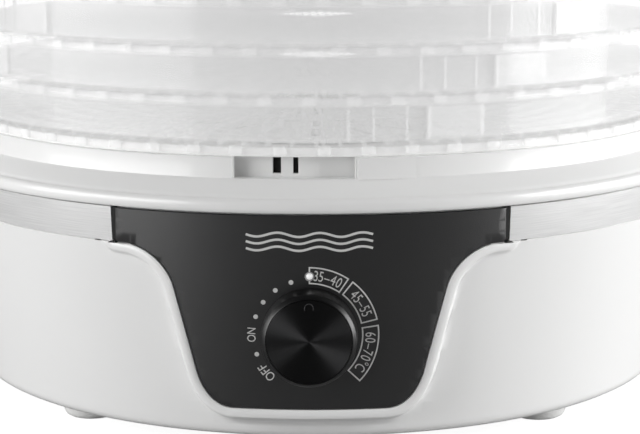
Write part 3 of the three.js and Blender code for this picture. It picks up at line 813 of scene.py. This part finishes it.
def pattern_tree(name, inputs):
    """A Geometry Nodes tree with named inputs. Returns the tree and its input and output nodes."""
    tree = bpy.data.node_groups.new(name, "GeometryNodeTree")
    tree.is_modifier = True
    kinds = {int: "NodeSocketInt", float: "NodeSocketFloat"}
    for label, value in inputs.items():
        socket = tree.interface.new_socket(label, in_out="INPUT", socket_type=kinds[type(value)])
        socket.default_value = value
    tree.interface.new_socket("Material", in_out="INPUT", socket_type="NodeSocketMaterial")
    tree.interface.new_socket("Geometry", in_out="OUTPUT", socket_type="NodeSocketGeometry")
    return tree, tree.nodes.new("NodeGroupInput"), tree.nodes.new("NodeGroupOutput")


def close_tree(tree, given, result, parts):
    """Joins the parts, realizes their instances and sets the material."""
    join = tree.nodes.new("GeometryNodeJoinGeometry")
    for part in parts:
        tree.links.new(part, join.inputs[0])
    real = tree.nodes.new("GeometryNodeRealizeInstances")
    paint = tree.nodes.new("GeometryNodeSetMaterial")
    tree.links.new(join.outputs[0], real.inputs[0])
    tree.links.new(real.outputs[0], paint.inputs["Geometry"])
    tree.links.new(given.outputs["Material"], paint.inputs["Material"])
    tree.links.new(paint.outputs[0], result.inputs[0])


def polar_copies(tree, count, radius, angle, height, shape):
    """Copies of a shape on points given by radius, angle and height fields, each turned to face outwards."""
    dots = tree.nodes.new("GeometryNodePoints")
    tree.links.new(count, dots.inputs["Count"])
    x = calc(tree, "MULTIPLY", radius, calc(tree, "SINE", angle))
    y = calc(tree, "MULTIPLY", radius, calc(tree, "MULTIPLY", calc(tree, "COSINE", angle), -1.0))
    tree.links.new(vector(tree, x, y, height), dots.inputs["Position"])
    copies = tree.nodes.new("GeometryNodeInstanceOnPoints")
    tree.links.new(dots.outputs[0], copies.inputs["Points"])
    tree.links.new(shape, copies.inputs["Instance"])
    turn = tree.nodes.new("FunctionNodeEulerToRotation")
    tree.links.new(vector(tree, 0.0, 0.0, angle), turn.inputs[0])
    tree.links.new(turn.outputs[0], copies.inputs["Rotation"])
    return copies.outputs[0]


def box_shape(tree, width, depth, height):
    """A block that is width across, depth along the radius, and height tall."""
    cube = tree.nodes.new("GeometryNodeMeshCube")
    tree.links.new(vector(tree, width, depth, height), cube.inputs["Size"])
    return cube.outputs[0]


def tray_pattern():
    """Node tree for what repeats on a tray: skirt blocks, floor rings, radial ribs and staggered bridges."""
    tree, given, result = pattern_tree("tray_pattern", {
        "Height": 0.1, "Twist": 0.0, "Blocks": 60, "Rings": 12, "Ring Pitch": 0.0108, "Hub Radius": 0.0205,
        "Ribs": 36, "Bridges": 108})
    new, link = tree.nodes.new, tree.links.new
    index = new("GeometryNodeInputIndex").outputs[0]
    turn = 2 * math.pi
    height, twist = given.outputs["Height"], given.outputs["Twist"]

    def places(count):
        return calc(tree, "ADD", twist, calc(tree, "DIVIDE", calc(tree, "MULTIPLY", index, turn), count))

    blocks = given.outputs["Blocks"]
    block = box_shape(tree, 0.0046, 0.0012, 0.003)
    keyed = polar_copies(tree, blocks, 0.1514, places(blocks), calc(tree, "ADD", height, 0.0022), block)

    floor_z = calc(tree, "ADD", height, 0.00405)
    rings, pitch, hub = (given.outputs[k] for k in ("Rings", "Ring Pitch", "Hub Radius"))
    dots = new("GeometryNodePoints")
    link(rings, dots.inputs["Count"])
    link(vector(tree, 0.0, 0.0, floor_z), dots.inputs["Position"])
    hoop = new("GeometryNodeCurvePrimitiveCircle")
    hoop.inputs["Resolution"].default_value = 90
    hoop.inputs["Radius"].default_value = 1
    hoops = new("GeometryNodeInstanceOnPoints")
    link(dots.outputs[0], hoops.inputs["Points"])
    link(hoop.outputs[0], hoops.inputs["Instance"])
    size = calc(tree, "ADD", hub, calc(tree, "MULTIPLY", index, pitch))
    link(vector(tree, size, size, 1.0), hoops.inputs["Scale"])
    loose = new("GeometryNodeRealizeInstances")
    link(hoops.outputs[0], loose.inputs[0])
    section = new("GeometryNodeCurvePrimitiveQuadrilateral")
    section.inputs["Width"].default_value = 0.0014
    section.inputs["Height"].default_value = 0.0015
    swept = new("GeometryNodeCurveToMesh")
    link(loose.outputs[0], swept.inputs["Curve"])
    link(section.outputs[0], swept.inputs["Profile Curve"])

    ribs = given.outputs["Ribs"]
    rib = box_shape(tree, 0.0013, 0.126, 0.0024)
    spokes = polar_copies(tree, ribs, 0.0825, places(ribs), floor_z, rib)

    bridges = given.outputs["Bridges"]
    ring_number = calc(tree, "FLOOR", calc(tree, "DIVIDE", index, bridges))
    along = calc(tree, "MODULO", index, bridges)
    odd = calc(tree, "MULTIPLY", calc(tree, "MODULO", ring_number, 3.0), 1 / 3)
    angle = calc(tree, "DIVIDE", calc(tree, "MULTIPLY", calc(tree, "ADD", along, odd), turn), bridges)
    reach = calc(tree, "ADD", hub, calc(tree, "MULTIPLY", calc(tree, "ADD", ring_number, 0.5), pitch))
    bridge = box_shape(tree, 0.0012, pitch, 0.0012)
    total = calc(tree, "MULTIPLY", bridges, rings)
    grid = polar_copies(tree, total, reach, calc(tree, "ADD", twist, angle), floor_z, bridge)
    close_tree(tree, given, result, [keyed, swept.outputs[0], spokes, grid])
    return tree


def from_nodes(name, tree, material, **settings):
    """Runs a node tree with its inputs set by name and returns the finished mesh."""
    carrier = bpy.data.objects.new(name, bpy.data.meshes.new(name))
    scene.collection.objects.link(carrier)
    modifier = carrier.modifiers.new(tree.name, "NODES")
    modifier.node_group = tree
    for item in tree.interface.items_tree:
        if item.item_type == "SOCKET" and item.in_out == "INPUT":
            key = item.name.lower().replace(" ", "_")
            if item.name == "Material":
                modifier[item.identifier] = material
            elif key in settings:
                modifier[item.identifier] = settings[key]
    return applied(carrier)


def tray_wall(z, twist):
    """The turned wall and skirt, with the panels and upright ribs of the four stacking keys."""
    profile = [(150.5, 0), (151.7, 0), (151.9, 0.2), (151.9, 0.75), (151.75, 0.9), (151.35, 0.95), (151.25, 1.2),
               (151.25, 3.4), (151.4, 3.6), (151.8, 3.7), (151.9, 3.9), (151.9, 4.5), (151.6, 4.8), (150.6, 5.0),
               (150.3, 5.3), (150.2, 5.9), (150.2, 20.1), (149.9, 20.4), (149.0, 20.4), (148.7, 20.1),
               (148.7, 5.6), (148.3, 4.9), (147.6, 4.8), (145.2, 4.8), (145.2, 3.3), (150.5, 3.3)]
    shapes = [spun([(r, z + up) for r, up in profile], 180)]
    for place in key_places:
        start = place + twist + 5.1
        for offset, width in ((0, 0.3), (3.5, 0.22), (8.1, 0.22), (11.0, 0.35)):
            shapes.append(sector_block(150.1, 150.8, start + offset, start + offset + width,
                                       z + 5.1, z + 17.2, 1))
        shapes.append(sector_block(150.1, 151.35, start + 11.3, start + 19.2, z + 6.1, z + 17.0, 12))
        for offset in (11.2, 19.0):
            shapes.append(sector_block(150.1, 151.6, start + offset, start + offset + 0.3,
                                       z + 5.9, z + 17.2, 1))
    return shapes


def merged(name, shapes, extra=None):
    """One mesh from closed shells, each with its faces outwards, and a finished mesh added as it is."""
    bm = bmesh.new()
    for verts, faces in shapes:
        made = [bm.verts.new(Vector(v) * mm) for v in verts]
        fresh = [bm.faces.new([made[k] for k in face]) for face in faces]
        bmesh.ops.recalc_face_normals(bm, faces=fresh)
    if extra:
        bm.from_mesh(extra)
    mesh = bpy.data.meshes.new(name)
    bm.to_mesh(mesh)
    bm.free()
    return mesh


# Clear plastic seen through by alpha. Its emission is a painted glow, not a lamp: it stands in for light
# scattered through the milky plastic from behind.
def clear_plastic(name, colour, alpha, roughness, painted_glow=0.0):
    mat = plastic(name, colour, roughness, coat=0.3, grain=0.05)
    bsdf = mat.node_tree.nodes["Principled BSDF"]
    bsdf.inputs["Alpha"].default_value = alpha
    bsdf.inputs["Emission Color"].default_value = (1, 1, 1, 1)
    bsdf.inputs["Emission Strength"].default_value = painted_glow
    return mat


# The trays' emission is a painted glow for the light that shines through the stack from behind.
milky = clear_plastic("tray_milk", (0.95, 0.95, 0.95), 0.25, 0.2, painted_glow=0.19)
tray_nodes = tray_pattern()
for number in range(tray_count):
    base_z = stack_z + tray_pitch * number
    tag = f"tray_{number + 1}"
    repeats = from_nodes("repeats", tray_nodes, milky, height=base_z * mm,
                         twist=math.radians(tray_twist * number + 2))
    shell = merged(tag + "_shell", tray_wall(base_z, tray_twist * number), repeats)
    dress_piece(tag + "_shell", shell, tag, "tray_plastic", milky, tag, smooth=40)


# Lid: clear polystyrene, turned, with a grip sunk in its middle and a ring of vents round it.
def make_lid():
    z = stack_z + tray_pitch * tray_count
    profile = [(0, 21.5), (19.2, 21.5), (20.4, 21.3), (21.4, 20.7), (22.4, 19.9), (23.0, 18.6), (23.9, 13.4),
               (24.3, 12.2), (25.2, 11.5), (26.6, 11.3), (90, 9.8), (130, 7.1), (146, 5.9), (149.2, 5.3),
               (151.2, 4.1), (151.9, 2.7), (151.9, 0.3), (151.6, 0), (150.8, 0), (150.5, 0.3), (150.5, 3.3),
               (147, 4.3), (90, 8.2), (26, 9.7), (23.4, 10.1), (22.4, 11), (21, 19.2), (20, 20), (0, 20)]
    verts, faces = spun([(r, z + up) for r, up in profile], 180, ring=False)
    vents = [sector_block(34, 46, k * 30 + 3, k * 30 + 12, z + 8, z + 13, 4) for k in range(12)]
    vents += [sector_block(34, 46, k * 30 + 18, k * 30 + 27, z + 8, z + 13, 4) for k in range(12)]
    return carved("lid_shell", verts, faces, vents)


# The lid's emission is a painted glow as well, fainter than the trays'.
clear = clear_plastic("lid_clear", (0.93, 0.94, 0.94), 0.2, 0.12, painted_glow=0.1)
dress_piece("lid_shell", make_lid(), "lid", "lid_plastic", clear, "lid", smooth=30)


# Feet: white rubber buttons pressed onto the bottom cover, domed at the edge so that they
# don't mark a worktop.
white_rubber = plastic("foot_rubber", (0.78, 0.78, 0.77), 0.55, grain=0.5, grain_size=1600)


def make_foot(k):
    low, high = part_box(f"foot_{k}")
    x, y = (low.x + high.x) / 2 / mm, (low.y + high.y) / 2 / mm
    profile = [(0, 0), (8.6, 0), (9.7, 0.15), (10.6, 0.7), (11.2, 1.5), (11.55, 2.7), (11.65, 4.2), (11.45, 7.9),
               (11.2, 8.3), (0, 8.3)]
    verts, faces = spun(profile, 56, ring=False)
    draft = plain_object(f"foot_draft_{k}", [(vx + x, vy + y, vz) for vx, vy, vz in verts], faces)
    mesh = draft.data.copy()
    bpy.data.objects.remove(draft)
    dress_piece(f"rubber_foot_{k}", mesh, "base", "rubber_foot", white_rubber, f"foot_{k}")


for number in range(1, 5):
    make_foot(number)

# Cord boss: a flat-faced pad moulded on the back of the housing, round the hole for the cord gland.
rear_z = 30


def make_boss():
    corner, half_w, half_h, hole_r = 6, 18, 15.5, 6.2
    count = 96

    def squircle(inset):
        """A rounded rectangle with its points at even angles, so that it meets a circle one to one."""
        points = []
        for a in np.linspace(0, 2 * math.pi, count, endpoint=False):
            ux, uz = math.cos(a), math.sin(a)
            w, h, r = half_w - inset, half_h - inset, max(corner - inset, 0.5)
            reach = min(w / max(abs(ux), 1e-9), h / max(abs(uz), 1e-9))
            x, z = ux * reach, uz * reach
            over_x, over_z = max(abs(x) - (w - r), 0), max(abs(z) - (h - r), 0)
            size = math.hypot(over_x, over_z)
            if over_x and over_z and size > r:
                x = math.copysign(w - r + over_x * r / size, x)
                z = math.copysign(h - r + over_z * r / size, z)
            points.append((x, z))
        return points

    rings = []
    for inset, back in ((0, 14), (0, 1.2), (0.35, 0.35), (1.2, 0)):
        rings.append([(x, math.sqrt(160 ** 2 - x * x) - back, rear_z + 0.5 + z) for x, z in squircle(inset)])
    for depth in (0, 11):
        circle = [(hole_r * math.cos(a), hole_r * math.sin(a))
                  for a in np.linspace(0, 2 * math.pi, count, endpoint=False)]
        rings.append([(x, math.sqrt(160 ** 2 - x * x) - depth, rear_z + z) for x, z in circle])
    verts = [v for ring_verts in rings for v in ring_verts]
    faces = [(r * count + k, r * count + (k + 1) % count, (r + 1) % len(rings) * count + (k + 1) % count,
              (r + 1) % len(rings) * count + k) for r in range(len(rings)) for k in range(count)]
    draft = plain_object("boss_draft", verts, faces)
    dress_piece("cord_boss", applied(draft), "base", "white", white_abs)


make_boss()


# Cord gland: a flanged black bush of moulded nylon, pushed through the boss and held by a nut inside.
soft_black = plastic("gland_black", (0.02, 0.02, 0.02), 0.5, grain=0.4, grain_size=1500)
bush = [(3.6, 150.3), (3.9, 150.0), (5.9, 150.0), (5.9, 160.3), (9.6, 160.3), (10, 160.6), (10, 161.6),
        (9.7, 162.0), (8.6, 162.6), (8.0, 163.2), (7.4, 164.6), (6.7, 166.9), (6.3, 167.4), (4.0, 167.4),
        (3.6, 167.0), (3.6, 150.3)]
make_turned_forward("gland_bush", [(r, -out) for r, out in bush], rear_z, "base", "gland_black", soft_black,
                    "cord_gland", segments=64)


# Bottom cover and outlet grille: flat white discs with radial slots, for the air to come in and go out.
def slotted_disc():
    """Node tree for a disc with one or two rings of radial slots cut right through it."""
    tree, given, result = pattern_tree("slotted_disc", {
        "Radius": 0.1, "Low": 0.0, "Thickness": 0.002, "Slots": 24, "Slot Middle": 0.04, "Slot Length": 0.03,
        "Inner Slots": 8, "Inner Middle": 0.02, "Inner Length": 0.02, "Slot Width": 0.004})
    new, link = tree.nodes.new, tree.links.new
    turn = 2 * math.pi
    middle = calc(tree, "ADD", given.outputs["Low"], calc(tree, "MULTIPLY", given.outputs["Thickness"], 0.5))
    plate = new("GeometryNodeMeshCylinder")
    plate.inputs["Vertices"].default_value = 144
    link(given.outputs["Radius"], plate.inputs["Radius"])
    link(given.outputs["Thickness"], plate.inputs["Depth"])
    placed = new("GeometryNodeTransform")
    link(plate.outputs[0], placed.inputs["Geometry"])
    link(vector(tree, 0.0, 0.0, middle), placed.inputs["Translation"])
    index = new("GeometryNodeInputIndex").outputs[0]
    cut = new("GeometryNodeMeshBoolean")
    cut.operation = "DIFFERENCE"
    cut.solver = "EXACT"
    link(placed.outputs[0], cut.inputs["Mesh 1"])
    for count, reach, length in (("Slots", "Slot Middle", "Slot Length"),
                                 ("Inner Slots", "Inner Middle", "Inner Length")):
        angle = calc(tree, "DIVIDE", calc(tree, "MULTIPLY", index, turn), given.outputs[count])
        tool = box_shape(tree, given.outputs["Slot Width"], given.outputs[length], 0.02)
        tools = polar_copies(tree, given.outputs[count], given.outputs[reach], angle, middle, tool)
        real = new("GeometryNodeRealizeInstances")
        link(tools, real.inputs[0])
        link(real.outputs[0], cut.inputs["Mesh 2"])
    close_tree(tree, given, result, [cut.outputs[0]])
    return tree


disc_nodes = slotted_disc()
cover_low, cover_high = (corner.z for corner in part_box("bottom_cover"))
grille_low, grille_high = (corner.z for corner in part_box("outlet_grille"))
cover_mesh = from_nodes("cover", disc_nodes, white_abs, radius=0.1432, low=cover_low, slots=24,
                        thickness=cover_high - cover_low, slot_middle=0.04, slot_length=0.032,
                        inner_slots=12, inner_middle=0.0145, inner_length=0.011, slot_width=0.0046)
dress_piece("cover_plate", cover_mesh, "base", "white", white_abs, "bottom_cover", smooth=30)
grille_mesh = from_nodes("grille", disc_nodes, white_abs, radius=0.064, low=grille_low, slots=16,
                         thickness=grille_high - grille_low, slot_middle=0.047, slot_length=0.022,
                         inner_slots=8, inner_middle=0.022, inner_length=0.02, slot_width=0.004)
dress_piece("grille_plate", grille_mesh, "base", "white", white_abs, "outlet_grille", smooth=30)


# Cover screws: four zinc-plated pan-head screws with cross recesses, driven up into the housing's posts.
def pan_screws():
    """Node tree for a ring of pan-head screws with their heads down."""
    tree, given, result = pattern_tree("pan_screws", {"Count": 4, "Reach": 0.137, "Head Height": 0.0,
                                                      "Head Radius": 0.0036, "Shank Length": 0.012})
    new, link = tree.nodes.new, tree.links.new

    def bar(radius, depth, middle, sides):
        cylinder = new("GeometryNodeMeshCylinder")
        cylinder.inputs["Vertices"].default_value = sides
        placed = new("GeometryNodeTransform")
        for value, socket in ((radius, cylinder.inputs["Radius"]), (depth, cylinder.inputs["Depth"])):
            if isinstance(value, float):
                socket.default_value = value
            else:
                link(value, socket)
        link(cylinder.outputs[0], placed.inputs["Geometry"])
        link(vector(tree, 0.0, 0.0, middle), placed.inputs["Translation"])
        return placed.outputs[0]

    head = bar(given.outputs["Head Radius"], 0.002, 0.001, 32)
    cut = new("GeometryNodeMeshBoolean")
    cut.operation = "DIFFERENCE"
    cut.solver = "EXACT"
    link(head, cut.inputs["Mesh 1"])
    for width, depth in ((0.0009, 0.0042), (0.0042, 0.0009)):
        link(box_shape(tree, width, depth, 0.0022), cut.inputs["Mesh 2"])
    shank = bar(0.0014, given.outputs["Shank Length"],
                calc(tree, "ADD", 0.002, calc(tree, "MULTIPLY", given.outputs["Shank Length"], 0.5)), 20)
    whole = new("GeometryNodeJoinGeometry")
    link(cut.outputs[0], whole.inputs[0])
    link(shank, whole.inputs[0])
    index = new("GeometryNodeInputIndex").outputs[0]
    angle = calc(tree, "DIVIDE", calc(tree, "MULTIPLY", index, 2 * math.pi), given.outputs["Count"])
    ring_of = polar_copies(tree, given.outputs["Count"], given.outputs["Reach"], angle,
                           given.outputs["Head Height"], whole.outputs[0])
    close_tree(tree, given, result, [ring_of])
    return tree


def metal(name, colour, roughness, shift=0.15, grain=0.2, grain_size=700):
    mat = plastic(name, colour, roughness, grain=grain, grain_size=grain_size, shift=shift)
    mat.node_tree.nodes["Principled BSDF"].inputs["Metallic"].default_value = 1
    return mat


zinc = metal("zinc_plate", (0.66, 0.67, 0.68), 0.3)
screw_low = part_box("cover_screw_1")[0].z
screw_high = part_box("cover_screw_1")[1].z
screw_mesh = from_nodes("screws", pan_screws(), zinc, count=4, head_height=screw_low,
                        shank_length=screw_high - screw_low - 0.002)
dress_piece("cover_screws", screw_mesh, "base", "zinc_steel", zinc,
            *[f"cover_screw_{k}" for k in range(1, 5)], smooth=30)


# Inside: the shaded-pole motor with its fan, the ring heater on its mica cross, the thermostat and the
# leads are used as designed, and only take their finishes here.
inner_finishes = {
    "white": white_abs,
    "lamp": grey_ring,
    "knob_black": gloss_black,
    "gland_black": soft_black,
    "zinc_steel": zinc,
    "nylon": plastic("natural_nylon", (0.72, 0.7, 0.63), 0.45, grain=0.3),
    "brass": metal("brass", (0.78, 0.57, 0.25), 0.32),
    "laminated_steel": metal("laminated_steel", (0.33, 0.34, 0.36), 0.45, shift=0.3, grain=0.6,
                             grain_size=1800),
    "copper_coil": metal("enamelled_copper", (0.62, 0.25, 0.1), 0.3, shift=0.3, grain=0.8, grain_size=1200),
    "fan_black": plastic("fan_black", (0.025, 0.025, 0.027), 0.42, grain=0.3),
    "mica": plastic("mica_sheet", (0.5, 0.43, 0.3), 0.5, shift=0.4, grain=0.5, grain_size=300),
    "lead_insulation": plastic("lead_insulation", (0.16, 0.16, 0.17), 0.48, grain=0.2),
}
for part in frame["record"]["subparts"]:
    held = nodes[part["node"]]
    if part["material_slot"] in inner_finishes:
        for place in held.material_slots:
            place.material = inner_finishes[part["material_slot"]]


# Daylight studio: a pale floor before a bright white backdrop, and a broad soft light low on each side. The
# side where the viewer stands and the ceiling are kept dim.
def make_studio():
    world = bpy.data.worlds.new("studio")
    scene.world = world
    world.use_nodes = True
    tree = world.node_tree
    new, link = tree.nodes.new, tree.links.new
    back = tree.nodes["Background"]
    back.inputs["Color"].default_value = (1, 1, 1, 1)
    direction = new("ShaderNodeTexCoord")
    split = new("ShaderNodeSeparateXYZ")
    link(direction.outputs["Generated"], split.inputs[0])
    behind = ranged(tree, split.outputs["Y"], 0.14, 0.95, start=-0.35, end=0.8)
    overhead = ranged(tree, split.outputs["Z"], 1.0, 0.25, start=0.2, end=0.8)
    path = new("ShaderNodeLightPath")
    level = new("ShaderNodeMix")
    level.data_type = "FLOAT"
    link(path.outputs["Is Camera Ray"], level.inputs["Factor"])
    link(calc(tree, "MULTIPLY", behind, overhead), level.inputs["A"])
    level.inputs["B"].default_value = 1.05
    link(level.outputs["Result"], back.inputs["Strength"])
    mesh = bpy.data.meshes.new("floor")
    mesh.from_pydata([(-6, -6, 0), (6, -6, 0), (6, 6, 0), (-6, 6, 0)], [], [(0, 1, 2, 3)])
    floor = bpy.data.objects.new("floor", mesh)
    scene.collection.objects.link(floor)
    paint = bpy.data.materials.new("floor_paint")
    paint.use_nodes = True
    bsdf = paint.node_tree.nodes["Principled BSDF"]
    bsdf.inputs["Base Color"].default_value = (0.4, 0.4, 0.4, 1)
    bsdf.inputs["Roughness"].default_value = 0.9
    bsdf.inputs["Emission Color"].default_value = (1, 1, 1, 1)
    seen = paint.node_tree.nodes.new("ShaderNodeLightPath")
    lift = calc(paint.node_tree, "MULTIPLY", seen.outputs["Is Camera Ray"], 0.9)
    paint.node_tree.links.new(lift, bsdf.inputs["Emission Strength"])
    mesh.materials.append(paint)
    for name, azimuth, height, size, power in (("left", -60, 0.18, (1.3, 1.1), 25),
                                               ("right", 78, 0.2, (1.0, 1.1), 32)):
        lamp = bpy.data.lights.new(name, "AREA")
        lamp.shape = "RECTANGLE"
        lamp.size, lamp.size_y = size
        lamp.energy = power
        piece = bpy.data.objects.new(name, lamp)
        a = math.radians(azimuth)
        piece.location = (1.4 * math.sin(a), -1.4 * math.cos(a), height)
        piece.rotation_euler = (Vector((0, 0, 0.1)) - piece.location).to_track_quat("-Z", "Y").to_euler()
        piece.visible_camera = False
        scene.collection.objects.link(piece)
    scene.view_settings.view_transform = "Standard"


make_studio()
